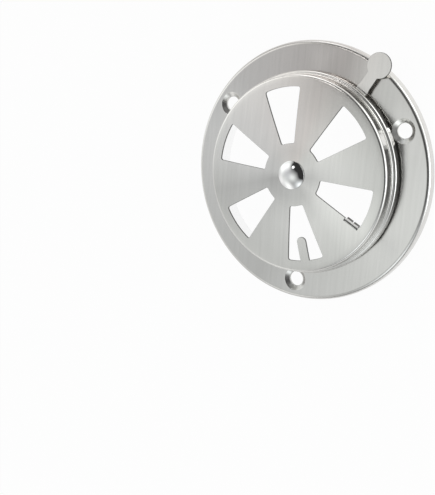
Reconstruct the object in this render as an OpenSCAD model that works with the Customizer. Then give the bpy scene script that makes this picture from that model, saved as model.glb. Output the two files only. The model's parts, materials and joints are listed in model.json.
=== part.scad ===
// Pinwheel damper: a round vent plate with a turning cap.
// The flange lies on the stove, its rim's back edge is the plane z = 0, and +Z points away from it.
// +Y is where the lever stands when the damper is shut; azimuths run clockwise from +Y, seen from
// the front. The cap is drawn shut and then turned to its open place, where its six windows lie over
// the six windows of the base.

/* [Sheet] */
// Thickness of both pressed sheets
sheet_t = 0.8; // [0.6:0.05:0.85]

/* [Flange] */
// Outside diameter of the flange
flange_d = 101.6; // [100:0.2:108]
// Height of the flange's front face over the rim's back edge
flange_h = 4.1; // [3.6:0.1:4.6]
// Outside radius of the bend between flange and rim
rim_bend = 1.75; // [1:0.05:2.2]

/* [Screw holes] */
// Number of screw holes
screw_count = 3; // [2:1:4]
// Diameter of the circle through the screw holes
screw_circle_d = 86.8; // [86:0.1:88]
// Diameter of a screw hole
screw_hole_d = 5.8; // [4:0.1:6.4]
// Diameter of the dish pressed round a screw hole
dish_d = 9.3; // [8.6:0.1:9.6]
// Depth of the dish
dish_depth = 1.1; // [0.6:0.1:1.3]
// Flat ring left at the bottom of the dish, round the hole
dish_land = 0.25; // [0.1:0.05:0.4]
// Azimuth of the first screw hole
screw_azimuth = 61; // [56:1:68]

/* [Housing] */
// Gap between the cap's upper wall and the housing's wall
side_gap = 0.6; // [0.4:0.05:0.9]
// Radius of the fillet at the foot of the housing's wall
foot_fillet = 0.7; // [0.5:0.05:0.9]
// Outside radius of the bend at the top of the housing's wall
housing_bend = 1.3; // [1:0.05:1.6]
// How much wider each side of a housing window is than the cap's, in degrees
window_lap = 2.2; // [2.2:0.1:2.4]
// How much further in and out a housing window reaches than the cap's
window_margin = 1; // [0.6:0.1:1.2]

/* [Cap] */
// Outside diameter of the cap's upper wall
cap_d = 76; // [75:0.1:77]
// Height of the cap's crown over the rim's back edge
cap_h = 16.9; // [16.5:0.1:18]
// Rise of the domed face from its edge to its crown
dome_rise = 2.4; // [1.8:0.1:3]
// Diameter of the flat seat in the middle of the dome
seat_d = 12.4; // [12:0.1:14]
// Outside radius of the bend between face and upper wall
edge_bend = 1.2; // [1:0.05:1.4]
// Height of the step in the wall
step_h = 8.65; // [8.4:0.05:9]
// Width of the step in the wall
step_w = 1.3; // [1.2:0.05:1.6]
// Outside radius of the step's rounded edge
step_bend = 0.9; // [0.86:0.02:1.1]

/* [Windows] */
// Number of windows
window_count = 6; // [6:1:6]
// Inner radius of a window
window_in = 12; // [11.5:0.1:13]
// Outer radius of a window
window_out = 33.4; // [33:0.1:33.8]
// Half the angle that a window spans
window_half = 13.3; // [12.5:0.1:13.3]
// Radius of a window's corners
window_corner = 0.8; // [0.4:0.1:1.2]
// Turn of the cap from shut to open
open_turn = 31; // [29:0.5:31]

/* [Finger] */
// Width of the finger left standing in a window
finger_w = 3.8; // [3:0.1:5]
// Radius at which the finger's round tip ends
finger_tip = 24.1; // [22:0.1:26]
// How far the finger stands clockwise of its window's middle
finger_shift = 0.4; // [0:0.1:0.8]
// Window that holds the finger, counted clockwise from the lever
finger_window = 3; // [3:1:4]

/* [Stop] */
// Width of the stop tab, along the radius
tab_w = 5.6; // [4:0.1:5.8]
// Radius of the stop tab's middle
tab_mid = 29.9; // [29.5:0.1:30]
// How far the stop tab hangs below the cap's face
tab_drop = 3.2; // [3:0.1:3.8]
// Outside radius of the bend that folds the tab down
tab_bend = 1.1; // [1:0.05:1.3]
// Distance from the window's side to the tab's front, its clearance when the cap is shut
tab_back = 0.1; // [0.05:0.05:0.15]
// Width of the slot that splits the tab
tab_slot = 0.6; // [0.4:0.1:1]
// Clearance round the tab in the cap's notch and in the housing's slot
tab_gap = 0.35; // [0.2:0.05:0.45]
// Window beside the stop tab, counted clockwise from the lever
tab_window = 2; // [2:1:2]

/* [Lever] */
// Angle from the lever to the first window clockwise of it
lever_lead = 14; // [13:0.5:15]
// Height of the lever's top face
lever_h = 6.55; // [6.4:0.05:6.8]
// Width of the lever's arm
arm_w = 4.6; // [3.6:0.1:4.8]
// Width of the arm where it leaves the wall
arm_root_w = 5; // [5:0.1:6]
// Length over which the root narrows to the arm
arm_taper = 1.6; // [1:0.1:2.5]
// Top radius of the bend between wall and arm
arm_bend = 0.9; // [0.6:0.05:1]
// Diameter of the round thumb pad
pad_d = 9.7; // [8:0.1:10.4]
// Radius at which the thumb pad's centre lies
pad_r = 51.1; // [50:0.1:54]

/* [Rivet] */
// Diameter of the rivet's head
head_d = 10.9; // [9:0.1:11.6]
// Height of the rivet's head
head_h = 1.9; // [1.4:0.1:2.4]
// Straight edge under the dome of the head
head_edge = 0.35; // [0.2:0.05:0.6]
// Diameter of the rivet's shank
shank_d = 5; // [4:0.1:6]
// Radial play of the shank in its holes
shank_play = 0.05; // [0.03:0.01:0.08]
// Diameter of the tail that is peened over inside
tail_d = 8; // [7:0.1:9]
// Height of the peened tail
tail_h = 1.6; // [1:0.1:2]

/* [Washers] */
// Diameter of the washer between cap and housing
spacer_d = 11; // [9:0.1:11.6]
// Thickness of that washer, which is the gap between the two plates
spacer_t = 0.5; // [0.4:0.05:0.7]
// Diameter of the washer under the tail
washer_d = 10; // [9.2:0.1:11.4]
// Thickness of the washer under the tail
washer_t = 0.8; // [0.5:0.1:1.2]

/* [Hidden] */
// Every node of the part
// Node that is drawn
// Facets of a full turn and of a small round
turn_fn = 180;
round_fn = 48;
// Steps in the section of a bend and of a dome
bend_steps = 6;
dome_steps = 14;
// How far a cutter runs past what it cuts
over = 1;
// How far a window corner's rounding reaches over the two sides, so that it crosses them
corner_reach = 0.02;
// A full turn and a quarter turn
full_turn = 360;
quarter = 90;

flange_r = flange_d / 2;
cap_r = cap_d / 2;
seat_r = seat_d / 2;
skirt_r = cap_r + step_w;
step_fillet = step_w - step_bend;
pitch = full_turn / window_count;
lip_z = lever_h - sheet_t;

// Radius of the dome's front face and height of its centre
edge_run = cap_r - edge_bend;
dome_r = (edge_run * edge_run + dome_rise * dome_rise) / (2 * dome_rise);
dome_z = cap_h - dome_r;
// Height of a dome of radius r at distance x from the axis
function dome_at(r, x) = dome_z + sqrt(r * r - x * x);
// Height of the centre of the bend that joins a dome of radius r to a wall at w
function bend_at(r, w, b) = dome_at(r - b, w - b);

// The housing's plate lies one washer below the cap, its dome about the same centre
housing_r = cap_r - sheet_t - side_gap;
housing_dome_r = dome_r - sheet_t - spacer_t;
cap_seat_z = dome_at(dome_r, seat_r);
spacer_z = cap_seat_z - sheet_t - spacer_t;
plate_back_z = spacer_z - sheet_t;
tail_z = plate_back_z - washer_t;
hole_r = shank_d / 2 + shank_play;

// Azimuths in the cap's shut place: the clockwise side of the window beside the tab
tab_azimuth = lever_lead + (tab_window - 1) * pitch + window_half;

// Turn a shape drawn along +X to an azimuth
module at_azimuth(a) {
    rotate([0, 0, quarter - a]) children();
}

// Quarter of a bent sheet about point c, in the quadrant that the signs sx and sy name
module sheet_bend(c, r_in, r_out, sx, sy) {
    translate(c)
        intersection() {
            difference() {
                circle(r = r_out, $fn = round_fn);
                circle(r = r_in, $fn = round_fn);
            }
            translate([min(sx, 0), min(sy, 0)] * (r_out + over)) square(r_out + over);
        }
}

// Rectangle between two corners
module bar(x0, y0, x1, y1) {
    translate([x0, y0]) square([x1 - x0, y1 - y0]);
}

// Points of an arc about c, from angle a0 to a1
function arc(c, r, a0, a1, n) =
    [for (i = [0 : n]) c + r * [cos(a0 + (a1 - a0) * i / n), sin(a0 + (a1 - a0) * i / n)]];

// Domed face of radius r, rounded by b into a wall at w, from the wall in to the seat's hole
function domed_face(r, w, b, seat_z) =
    let (slope = asin((w - b) / (r - b)), seat = acos((seat_z - dome_z) / r))
    concat(
        arc([w - b, bend_at(r, w, b)], b, 0, quarter - slope, bend_steps),
        [for (p = arc([0, dome_z], r, quarter - slope, quarter - seat, dome_steps))
            if (p[0] < w - b) p],
        [[hole_r, seat_z]]);

// Closed section of a sheet between its front face and its back face
module sheet_section(front, back) {
    polygon(concat(front, [for (i = [len(back) - 1 : -1 : 0]) back[i]]));
}

// Outline of a window: a ring sector along +X with radial sides and rounded corners
module window_outline(r_in, r_out, half, c) {
    far = r_out + 2 * over;
    difference() {
        intersection() {
            difference() {
                circle(r = r_out, $fn = turn_fn);
                circle(r = r_in, $fn = turn_fn);
            }
            polygon([[0, 0], [far, -far * tan(half)], [far, far * tan(half)]]);
        }
        for (side = [-1, 1]) {
            corner_cut(r_out, r_out - c + corner_reach, half, c, side);
            corner_cut(r_in, r_in + c - corner_reach, half, c, side);
        }
    }
}

// What rounding takes from one corner of a window: r is the arc's radius, rc the rounding's centre
module corner_cut(r, rc, half, c, side) {
    turn = half - asin((c - corner_reach) / rc);
    foot = rc * cos(half - turn);
    past = r + (r > rc ? over : -over);
    along = [cos(half), side * sin(half)];
    out = [-sin(half), side * cos(half)];
    centre_line = [cos(turn), side * sin(turn)];
    difference() {
        polygon([rc * centre_line, foot * along + over * out, past * along + over * out,
            past * centre_line]);
        translate(rc * centre_line) circle(r = c, $fn = round_fn);
    }
}

// Face of the base that lies the distance t behind its front, from the rim's edge to the middle
function base_face(t) = concat(
    [[flange_r - t, 0]],
    arc([flange_r - rim_bend, flange_h - rim_bend], rim_bend - t, 0, quarter, bend_steps),
    arc([housing_r + foot_fillet, flange_h + foot_fillet], foot_fillet + t,
        3 * quarter, 2 * quarter, bend_steps),
    domed_face(housing_dome_r - t, housing_r - t, housing_bend - t, spacer_z - t));

// Dish round a screw hole: the sheet runs down a cone to a flat ring round the hole
module dish() {
    r1 = dish_d / 2;
    r0 = screw_hole_d / 2;
    land_r = r0 + dish_land;
    fold = sheet_t * tan(atan2(dish_depth, r1 - land_r) / 2);
    bottom = flange_h - dish_depth;
    rotate_extrude($fn = turn_fn)
        polygon([[r1, flange_h], [land_r, bottom], [r0, bottom], [r0, bottom - sheet_t],
            [land_r - fold, bottom - sheet_t], [r1 - fold, flange_h - sheet_t],
            [r1, flange_h - sheet_t]]);
}

// Slot that leads the stop tab from its shut place into the window, whose clockwise side stops it
module stop_slot() {
    r0 = tab_mid - tab_w / 2 - tab_gap;
    r1 = tab_mid + tab_w / 2 + tab_gap;
    far = r1 / cos(open_turn / 2) + over;
    at_azimuth(tab_azimuth)
        translate([0, 0, flange_h])
        linear_extrude(cap_h)
        intersection() {
            difference() {
                circle(r = r1, $fn = turn_fn);
                circle(r = r0, $fn = turn_fn);
            }
            polygon([[0, 0], [far, 0], far * [cos(open_turn), -sin(open_turn)]]);
        }
}

module base() {
    color("silver")
    difference() {
        union() {
            difference() {
                rotate_extrude($fn = turn_fn) sheet_section(base_face(0), base_face(sheet_t));
                for (i = [0 : screw_count - 1])
                    at_azimuth(screw_azimuth + i * full_turn / screw_count)
                        translate([screw_circle_d / 2, 0, 0])
                        cylinder(r = dish_d / 2, h = flange_h + over, $fn = turn_fn);
            }
            for (i = [0 : screw_count - 1])
                at_azimuth(screw_azimuth + i * full_turn / screw_count)
                    translate([screw_circle_d / 2, 0, 0]) dish();
        }
        for (i = [0 : window_count - 1])
            at_azimuth(open_turn + lever_lead + i * pitch)
                translate([0, 0, flange_h])
                linear_extrude(cap_h)
                window_outline(window_in - window_margin, window_out + window_margin,
                    window_half + window_lap, window_corner);
        stop_slot();
    }
}

// Face of the cap that lies the distance t behind its front, from the lower edge to the middle
function cap_face(t) = concat(
    [[skirt_r - t, lip_z]],
    arc([skirt_r - step_bend, step_h - step_bend], step_bend - t, 0, quarter, bend_steps),
    arc([cap_r + step_fillet, step_h + step_fillet], step_fillet + t,
        3 * quarter, 2 * quarter, bend_steps),
    domed_face(dome_r - t, cap_r - t, edge_bend - t, cap_seat_z - t));

// Finger that the window's cutter leaves standing, flush with the dome
module finger_outline() {
    translate([finger_tip + finger_w / 2, -finger_shift]) {
        circle(d = finger_w, $fn = round_fn);
        bar(0, -finger_w / 2, window_out - finger_tip, finger_w / 2);
    }
}

// Notch beside the window, from which the stop tab is folded down
module tab_notch() {
    reach = tab_w / 2 + tab_gap;
    at_azimuth(tab_azimuth)
        translate([0, 0, flange_h])
        linear_extrude(cap_h)
        bar(tab_mid - reach, -tab_back - tab_bend, tab_mid + reach, over);
}

// Stop tab: a bend and a split leg, square to the domed face where the tab hangs
module stop_tab() {
    lean = asin(tab_mid / dome_r);
    at_azimuth(tab_azimuth)
        translate([tab_mid, 0, dome_at(dome_r, tab_mid)])
        rotate([0, lean, 0])
        rotate([quarter, 0, -quarter])
        difference() {
            linear_extrude(tab_w, center = true) {
                bar(tab_back, -tab_drop, tab_back + sheet_t, -tab_bend);
                sheet_bend([tab_back + tab_bend, -tab_bend], tab_bend - sheet_t, tab_bend, -1, 1);
            }
            linear_extrude(tab_slot, center = true)
                bar(0, -tab_drop - over, tab_back + sheet_t + over, -tab_bend);
        }
}

// Lever: the wall's lower edge is bent out and runs on as a flat arm to a round pad
module lever() {
    spread = 2 * asin(arm_root_w / 2 / skirt_r);
    root_r = skirt_r + arm_bend;
    start_w = 2 * root_r * sin(spread / 2);
    start_r = root_r * cos(spread / 2);
    at_azimuth(0) {
        rotate([0, 0, -spread / 2])
            rotate_extrude(angle = spread, $fn = turn_fn)
            sheet_bend([root_r, lever_h + arm_bend], arm_bend, arm_bend + sheet_t, -1, -1);
        translate([0, 0, lip_z])
            linear_extrude(sheet_t)
            difference() {
                union() {
                    polygon([[start_r, -start_w / 2], [start_r + arm_taper, -arm_w / 2],
                        [pad_r, -arm_w / 2], [pad_r, arm_w / 2],
                        [start_r + arm_taper, arm_w / 2], [start_r, start_w / 2]]);
                    translate([pad_r, 0]) circle(d = pad_d, $fn = turn_fn);
                }
                circle(r = root_r, $fn = turn_fn);
            }
    }
}

// Part of the wall that the bent root of the lever takes the place of
module lever_relief() {
    spread = 2 * asin(arm_root_w / 2 / skirt_r);
    at_azimuth(0)
        rotate([0, 0, -spread / 2])
        rotate_extrude(angle = spread, $fn = turn_fn)
        bar(skirt_r - sheet_t - over, lip_z - over, skirt_r + over, lever_h + arm_bend);
}

module cap_disc() {
    color("gainsboro")
    rotate([0, 0, -open_turn]) {
        difference() {
            rotate_extrude($fn = turn_fn) sheet_section(cap_face(0), cap_face(sheet_t));
            for (i = [0 : window_count - 1])
                at_azimuth(lever_lead + i * pitch)
                    translate([0, 0, flange_h])
                    linear_extrude(cap_h)
                    difference() {
                        window_outline(window_in, window_out, window_half, window_corner);
                        if (i == finger_window - 1) finger_outline();
                    }
            tab_notch();
            lever_relief();
        }
        stop_tab();
        lever();
    }
}

// Domed head on a short straight edge, the shank, and the tail peened over the washer
module rivet() {
    crown = head_h - head_edge;
    crown_r = (head_d * head_d / 4 + crown * crown) / (2 * crown);
    tail_crown = tail_h / 2;
    tail_r = (tail_d * tail_d / 4 + tail_crown * tail_crown) / (2 * tail_crown);
    color("whitesmoke")
    rotate_extrude($fn = turn_fn) {
        bar(0, cap_seat_z, head_d / 2, cap_seat_z + head_edge);
        intersection() {
            translate([0, cap_seat_z + head_h - crown_r]) circle(r = crown_r, $fn = turn_fn);
            bar(0, cap_seat_z + head_edge, head_d, cap_seat_z + head_h);
        }
        bar(0, tail_z - tail_crown, shank_d / 2, cap_seat_z);
        bar(0, tail_z - tail_crown, tail_d / 2, tail_z);
        intersection() {
            translate([0, tail_z - tail_h + tail_r]) circle(r = tail_r, $fn = turn_fn);
            bar(0, tail_z - tail_h, tail_d, tail_z - tail_crown);
        }
    }
}

// Flat ring with its lower face at height z
module washer(d, t, z) {
    rotate_extrude($fn = turn_fn) bar(hole_r, z, d / 2, z + t);
}

module spacer_washer() {
    color("gray") washer(spacer_d, spacer_t, spacer_z);
}

module back_washer() {
    color("lightgray") washer(washer_d, washer_t, tail_z);
}

base();
cap_disc();
rivet();
spacer_washer();
back_washer();
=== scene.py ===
"""Pinwheel damper: pressed and brushed steel skins over the packed frame of a turning vent plate.

Lengths are in metres in the frame's own axes: the flange's rim stands on z = 0 and +Z is the front.
Azimuths run clockwise from +Y, seen from the front, as on a compass.
"""

import json
import math

import bmesh
import bpy
from bpy.props import FloatProperty, FloatVectorProperty, IntProperty, PointerProperty
from mathutils import Euler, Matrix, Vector
from mathutils.geometry import delaunay_2d_cdt


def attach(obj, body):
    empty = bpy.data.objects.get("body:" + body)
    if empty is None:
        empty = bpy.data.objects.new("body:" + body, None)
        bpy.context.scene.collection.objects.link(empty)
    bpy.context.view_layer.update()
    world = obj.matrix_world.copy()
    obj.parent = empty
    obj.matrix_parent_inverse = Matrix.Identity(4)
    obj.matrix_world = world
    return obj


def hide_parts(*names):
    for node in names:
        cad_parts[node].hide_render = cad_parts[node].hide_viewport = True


bl_info = {
    "name": "Pinwheel damper",
    "version": (1, 0, 0),
    "blender": (4, 5, 0),
    "location": "View3D > Sidebar > Damper",
    "description": "Builds the skins, finishes and studio of a round vent plate with a turning cap",
    "category": "Add Mesh",
}

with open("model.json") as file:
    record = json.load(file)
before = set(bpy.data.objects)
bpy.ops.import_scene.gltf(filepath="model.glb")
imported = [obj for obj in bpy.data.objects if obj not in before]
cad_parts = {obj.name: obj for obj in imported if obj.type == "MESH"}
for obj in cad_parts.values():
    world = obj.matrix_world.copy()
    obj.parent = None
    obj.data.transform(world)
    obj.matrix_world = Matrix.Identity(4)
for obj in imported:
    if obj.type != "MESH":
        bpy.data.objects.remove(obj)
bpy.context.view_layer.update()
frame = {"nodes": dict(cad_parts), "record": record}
RECORD = frame["record"]
SCREWS = next(m for m in RECORD["mounts"] if m["kind"] == "bolt_pattern")["dims"]
TRAVEL = RECORD["behaviour"]["joints"][0]["range_deg"][1]

MM = 0.001
FULL_TURN = math.radians(360)
QUARTER = math.radians(90)
# Points closer than this are one point
WELD = 2e-6
# Triangles with less than half this area, in square metres, are rounding errors
SLIVER = 1e-10
# Columns of a full turn on every round skin
COLUMNS = 360
# Places in a sheet's list of finishes: brushed front with its painted sheen, cut edge painted dark as
# shade, and the polished inside painted near white as light from behind
FRONT, CUT_PAINTED_DARK, INSIDE = 0, 1, 2


def length(name, millimetres, description):
    """A size in metres whose default is given in millimetres."""
    return FloatProperty(
        name=name, description=description, default=millimetres * MM, unit="LENGTH", precision=5
    )


def angle(name, degrees, description):
    """An angle whose default is given in degrees."""
    return FloatProperty(
        name=name, description=description, default=math.radians(degrees), unit="ROTATION"
    )


def colour(name, shade, description):
    """A colour that a user can pick."""
    return FloatVectorProperty(
        name=name, description=description, default=shade, subtype="COLOR", min=0, max=1
    )


def share(name, default, description):
    """A plain number from 0 to 1."""
    return FloatProperty(name=name, description=description, default=default, min=0, max=1)


class DamperSheet(bpy.types.PropertyGroup):
    """Sizes that both pressed sheets share."""

    thickness: length("Sheet", 0.8, "Thickness of both pressed sheets")
    burr: length("Edge break", 0.07, "Width of the broken corner along every cut edge")
    seat_r: length("Seat radius", 6.2, "Radius of the flat seat under the rivet's head")
    bore_r: length("Bore radius", 2.55, "Radius of the hole that the rivet passes")
    dome_rise: length("Dome rise", 2.4, "Rise of the cap's domed face from its edge to its crown")
    plate_gap: length("Plate gap", 0.5, "Gap between the cap's plate and the housing's")
    mesh_step: length("Mesh step", 2.2, "Distance between the inner points of a domed face")


class DamperBase(bpy.types.PropertyGroup):
    """Sizes of the flange, its screw dishes and the housing."""

    flange_r: length("Flange radius", 50.8, "Outside radius of the flange")
    flange_h: length("Flange height", 4.1, "Height of the flange's front face")
    rim_bend: length("Rim bend", 1.75, "Outside radius of the bend between flange and rim")
    housing_r: length("Housing radius", 36.6, "Outside radius of the housing's wall")
    foot_fillet: length("Foot fillet", 0.7, "Radius of the fillet at the foot of the wall")
    housing_bend: length("Housing bend", 1.3, "Outside radius of the bend at the wall's top")
    window_lap: angle("Window lap", 2.2, "How much further round a housing window reaches")
    window_margin: length("Window margin", 1, "How much further in and out it reaches")
    dish_r: length("Dish radius", 4.65, "Radius of the dish round a screw hole")
    dish_depth: length("Dish depth", 1.1, "Depth of the dish")
    dish_land: length("Dish land", 0.25, "Flat ring at the bottom of the dish")
    dish_round: length("Dish rounding", 0.55, "Radius between the flange and the dish's slope")
    screw_azimuth: angle("Screw azimuth", 61, "Azimuth of the first screw hole")


class DamperCap(bpy.types.PropertyGroup):
    """Sizes of the turning cap, its windows, finger, stop tab and lever."""

    cap_r: length("Cap radius", 38, "Outside radius of the cap's upper wall")
    cap_h: length("Cap height", 16.9, "Height of the cap's crown")
    edge_bend: length("Edge bend", 1.2, "Outside radius of the bend between face and wall")
    step_h: length("Step height", 8.65, "Height of the step in the wall")
    step_w: length("Step width", 1.3, "Width of the step in the wall")
    step_bend: length("Step bend", 0.9, "Outside radius of the step's rounded edge")
    window_count: IntProperty(name="Windows", description="Number of windows", default=6)
    window_in: length("Window inner radius", 12, "Inner radius of a window")
    window_out: length("Window outer radius", 33.4, "Outer radius of a window")
    window_half: angle("Window half angle", 13.3, "Half the angle that a window spans")
    window_corner: length("Window corner", 0.8, "Radius of a window's corners")
    finger_w: length("Finger width", 3.8, "Width of the finger left in a window")
    finger_tip: length("Finger tip", 24.1, "Radius at which the finger ends")
    finger_shift: length("Finger shift", 0.4, "How far it stands clockwise of the middle")
    tab_w: length("Tab width", 5.6, "Width of the stop tab, along the radius")
    tab_mid: length("Tab radius", 29.9, "Radius of the stop tab's middle")
    tab_drop: length("Tab drop", 3.2, "How far the tab hangs below the face")
    tab_bend: length("Tab bend", 1.1, "Outside radius of the tab's fold")
    tab_back: length("Tab set-back", 0.1, "Distance from the window's side to the tab's front")
    tab_slot: length("Tab slot", 0.6, "Width of the slot that splits the tab")
    tab_gap: length("Tab gap", 0.35, "Clearance beside the tab")
    lever_lead: angle("Lever lead", 14, "Angle from the lever to the next window clockwise")
    lever_h: length("Lever height", 6.55, "Height of the lever's top face")
    arm_w: length("Arm width", 4.6, "Width of the lever's arm")
    arm_root_w: length("Root width", 5, "Width of the arm where it leaves the wall")
    arm_taper: length("Arm taper", 1.6, "Length over which the root narrows")
    arm_bend: length("Arm bend", 0.9, "Top radius of the bend between wall and arm")
    pad_r: length("Pad radius", 4.85, "Radius of the round thumb pad")
    pad_at: length("Pad place", 51.1, "Radius at which the pad's centre lies")


class DamperRivet(bpy.types.PropertyGroup):
    """Sizes of the rivet."""

    head_r: length("Head radius", 5.45, "Radius of the rivet's head")
    head_h: length("Head height", 1.9, "Height of the head over its seat")
    head_edge: length("Head edge", 0.35, "Straight edge under the dome")
    shank_r: length("Shank radius", 2.5, "Radius of the shank")
    tail_r: length("Tail radius", 4, "Radius of the peened tail")
    tail_h: length("Tail height", 1.6, "Height of the peened tail")
    washer_t: length("Back washer", 0.8, "Thickness of the washer under the tail")


class DamperFinish(bpy.types.PropertyGroup):
    """Colours and roughness of the steel."""

    # The two brushed colours are set light, because the painted sheen by azimuth, and on the cap by
    # radius too, darkens them
    base_steel: colour("Base steel", (0.78, 0.77, 0.75), "Colour of the base's brushed sheet")
    cap_steel: colour("Cap steel", (0.90, 0.89, 0.865), "Colour of the cap's brushed sheet")
    # The sheared edges are painted dark: painted shade of the gaps beneath them, on their own rougher
    # tone
    cut_steel_painted_dark: colour("Cut steel", (0.16, 0.155, 0.15), "Colour of the sheared edges")
    # The inside is polished steel painted near white: painted light that stands in for light from behind
    inside_steel_painted_bright: colour("Inside steel", (0.97, 0.97, 0.97), "Colour of the base's inside")
    rivet_steel: colour("Rivet steel", (0.80, 0.80, 0.80), "Colour of the polished rivet")
    washer_steel: colour("Washer steel", (0.50, 0.50, 0.49), "Colour of the plain washers")
    base_rough: share("Base roughness", 0.21, "Roughness of the base's sheet")
    cap_rough: share("Cap roughness", 0.21, "Roughness of the cap's sheet")
    cut_rough: share("Cut roughness", 0.5, "Roughness of the sheared edges")
    inside_rough: share("Inside roughness", 0.12, "Roughness of the base's inside")
    rivet_rough: share("Rivet roughness", 0.03, "Roughness of the rivet")
    washer_rough: share("Washer roughness", 0.42, "Roughness of the washers")
    grain_azimuth: angle("Grain", 8, "Azimuth along which the sheets are brushed")


class DamperStudio(bpy.types.PropertyGroup):
    """Floor, light and camera."""

    floor_size: length("Floor", 6000, "Side of the square floor")
    floor_white: share("Floor white", 0.955, "How bright the camera and the steel see the floor")
    camera_place: FloatVectorProperty(
        name="Camera place", description="Where the camera stands", subtype="TRANSLATION",
        default=(0.190408, 0.061155, 0.371596), precision=5, unit="LENGTH",
    )
    camera_turn: FloatVectorProperty(
        name="Camera turn", description="How the camera is turned", subtype="EULER",
        default=(math.radians(-9.9829), math.radians(32.8314), math.radians(5.3758)),
        unit="ROTATION",
    )
    camera_lens: FloatProperty(
        name="Lens", description="Focal length in millimetres", default=77.355, min=1
    )
    room_light: FloatProperty(
        name="Room light", description="Light from where no lamp stands", default=0.27
    )


# ---- outlines


def arc(centre, radius, start, end, steps):
    """Points of an arc about a point of the plane, from one angle to another."""
    angles = [start + (end - start) * i / steps for i in range(steps + 1)]
    return [
        (centre[0] + radius * math.cos(a), centre[1] + radius * math.sin(a)) for a in angles
    ]


def turned(points, by):
    """Points of the plane turned about the origin."""
    c, s = math.cos(by), math.sin(by)
    return [(c * x - s * y, s * x + c * y) for x, y in points]


def line(start, end, steps):
    """Points of a straight line, both ends in it."""
    return [
        tuple(a + (b - a) * i / steps for a, b in zip(start, end)) for i in range(steps + 1)
    ]


def without_doubles(points, closed=True):
    """The same outline with every point once."""
    kept = []
    for p in points:
        if not kept or math.dist(p, kept[-1]) > WELD:
            kept.append(p)
    if closed and math.dist(kept[0], kept[-1]) <= WELD:
        kept.pop()
    return kept


def grown(loop, by, pinned=()):
    """A counterclockwise outline moved outwards by a distance, except for its pinned points."""
    result = []
    for i, p in enumerate(loop):
        if i in pinned:
            result.append(p)
            continue
        before = Vector(p) - Vector(loop[i - 1])
        after = Vector(loop[(i + 1) % len(loop)]) - Vector(p)
        n1 = Vector((before.y, -before.x)).normalized()
        n2 = Vector((after.y, -after.x)).normalized()
        shift = (n1 + n2) * (by / (1 + n1.dot(n2)))
        result.append((p[0] + shift.x, p[1] + shift.y))
    return result


def refined(loop, step):
    """A closed outline with points added along its long sides, so that it can follow a dome."""
    result = []
    for start, end in zip(loop, loop[1:] + loop[:1]):
        result += line(start, end, max(math.ceil(math.dist(start, end) / step), 1))[:-1]
    return result


def inside(point, loop):
    """Whether a point lies in an outline."""
    x, y = point
    odd = False
    for (x0, y0), (x1, y1) in zip(loop, loop[1:] + loop[:1]):
        if (y0 > y) != (y1 > y) and x < x0 + (y - y0) * (x1 - x0) / (y1 - y0):
            odd = not odd
    return odd


def window_loop(r_in, r_out, half, corner, left=None, right=None, outer=None):
    """Counterclockwise outline of a window along +X.

    left and right stand in for the plain side at +half and -half, with the corners at its ends,
    and outer for the arc at r_out; each is a list of points in the outline's own direction.
    """
    far, near = r_out - corner, r_in + corner
    far_turn = half - math.asin(corner / far)
    near_turn = half - math.asin(corner / near)
    steps = 6
    far_corner = arc(
        (far * math.cos(far_turn), far * math.sin(far_turn)), corner,
        far_turn, half + QUARTER, steps,
    )
    near_corner = arc(
        (near * math.cos(near_turn), near * math.sin(near_turn)), corner,
        half + QUARTER, near_turn + 2 * QUARTER, steps,
    )
    mirror = lambda points: [(x, -y) for x, y in reversed(points)]
    plain_left = far_corner + line(far_corner[-1], near_corner[0], 8)[1:-1] + near_corner
    if left is None:
        left = plain_left
    else:
        left = left + near_corner
    if right is None:
        right = mirror(plain_left)
    else:
        right = mirror(near_corner) + right
    start = math.atan2(right[-1][1], right[-1][0])
    end = math.atan2(left[0][1], left[0][0])
    if outer is None:
        outer = arc((0, 0), r_out, start, end, 24)
    inner = arc(
        (0, 0), r_in, math.atan2(left[-1][1], left[-1][0]),
        math.atan2(right[0][1], right[0][0]), 14,
    )
    return without_doubles(outer + left + inner + right)


# ---- skins


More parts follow.
